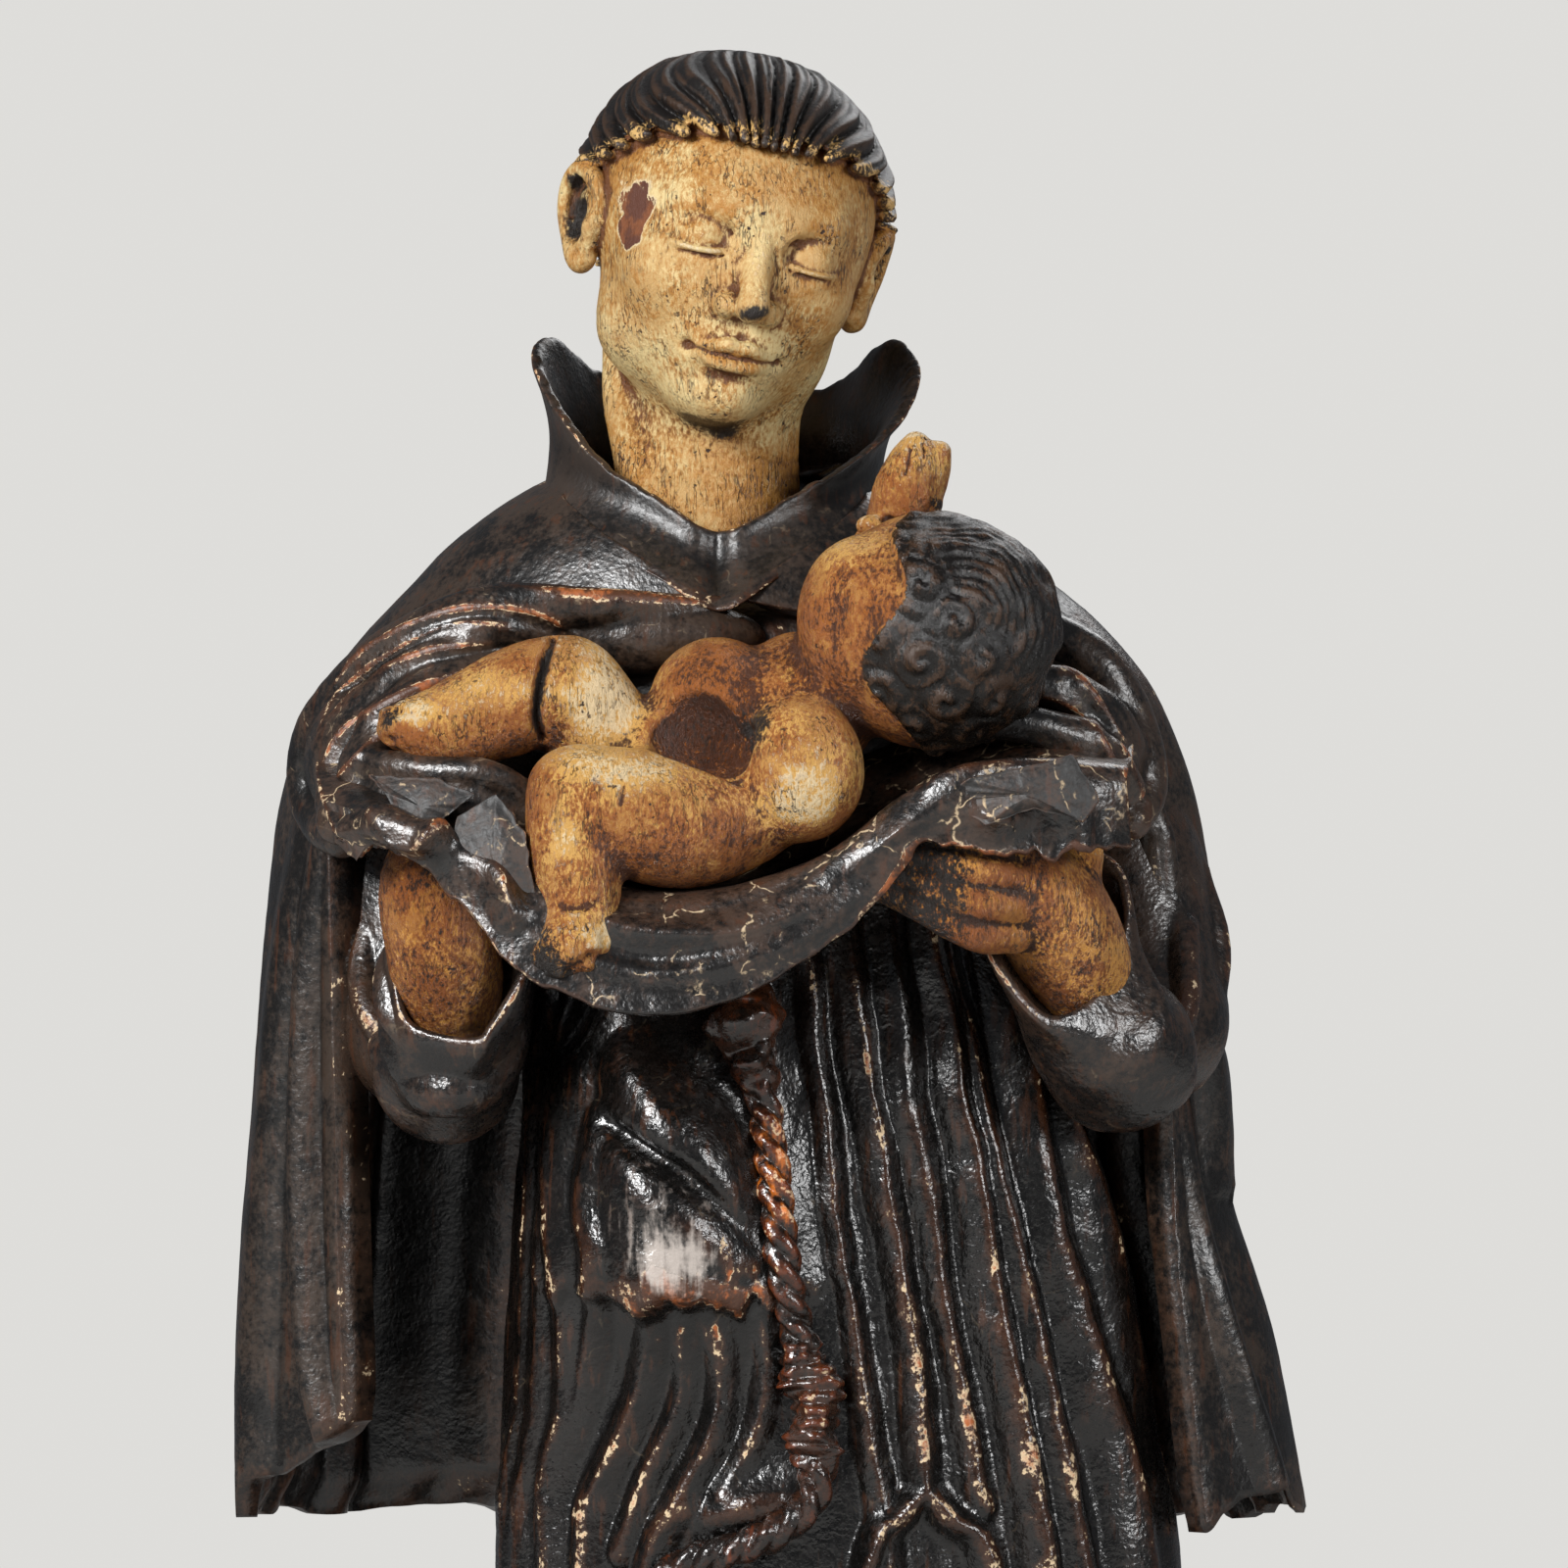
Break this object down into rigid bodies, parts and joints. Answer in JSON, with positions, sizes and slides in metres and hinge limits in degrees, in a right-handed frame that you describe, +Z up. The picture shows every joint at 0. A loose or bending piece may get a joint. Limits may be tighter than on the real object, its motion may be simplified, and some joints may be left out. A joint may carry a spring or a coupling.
{
  "type": "wooden saint statue",
  "caption": "Carved and painted wooden saint in habit, cord and cloak, holding a child on a fold of cloth, standing on a low plinth with cut front corners.",
  "frame": {"origin": "middle of the plinth's underside", "axes": "+Z up, -Y towards the viewer, the way the figure faces, +X to the viewer's right, which is the figure's own left"},
  "size_m": [0.5439, 0.3317, 1.101],
  "materials": {
    "habit_paint": "carved wood under dark brown-black oil paint, glossy on the folds, worn to pale ground and brown wood along the edges",
    "flesh_paint": "carved wood under ochre flesh paint, cracked and pitted, browned in the hollows",
    "plinth_paint": "sawn wood under dark brown paint, worn along the edges"
  },
  "bodies": {
    "root": {"saint": "habit_paint", "child": "flesh_paint", "plinth": "plinth_paint"}
  },
  "joints": []
}
